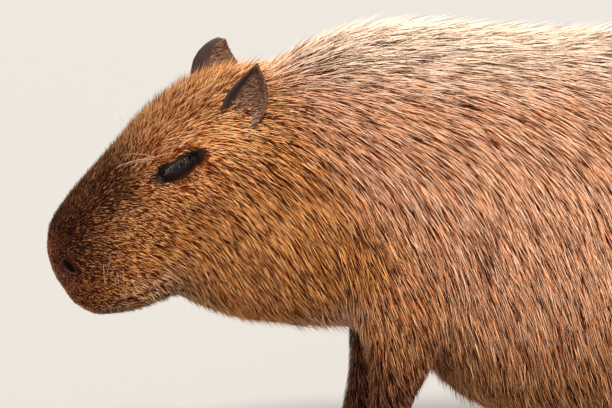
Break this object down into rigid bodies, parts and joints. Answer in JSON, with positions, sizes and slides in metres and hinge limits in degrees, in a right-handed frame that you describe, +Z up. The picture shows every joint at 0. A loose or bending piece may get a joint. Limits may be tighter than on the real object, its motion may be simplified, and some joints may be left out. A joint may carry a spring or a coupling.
{
  "type": "capybara, life-size still model",
  "caption": "Adult capybara standing on four feet with its head lowered and turned slightly to its left, as a still life-size museum model.",
  "frame": {"origin": "on the floor under the middle of the animal's box", "axes": "the animal faces -X, its left side faces -Y, +Z is up; its length runs along X"},
  "size_m": [1.101, 0.372, 0.5639],
  "materials": {
    "coat": "coarse hair, reddish tan",
    "skin": "dark skin under the coat, bare on nose, ears and feet",
    "eye": "wet and glossy, dark brown",
    "claw": "smooth dark horn",
    "whisker": "pale stiff hair"
  },
  "bodies": {
    "root": {"trunk": "coat", "neck": "coat", "head": "coat", "tail": "coat", "ear_left": "skin", "ear_right": "skin", "eye_left": "eye", "eye_right": "eye", "foreleg_left": "coat", "foreleg_right": "coat", "hindleg_left": "coat", "hindleg_right": "coat", "foreclaw_left_1": "claw", "foreclaw_left_2": "claw", "foreclaw_left_3": "claw", "foreclaw_left_4": "claw", "foreclaw_right_1": "claw", "foreclaw_right_2": "claw", "foreclaw_right_3": "claw", "foreclaw_right_4": "claw", "hindclaw_left_1": "claw", "hindclaw_left_2": "claw", "hindclaw_left_3": "claw", "hindclaw_right_1": "claw", "hindclaw_right_2": "claw", "hindclaw_right_3": "claw"}
  },
  "joints": []
}
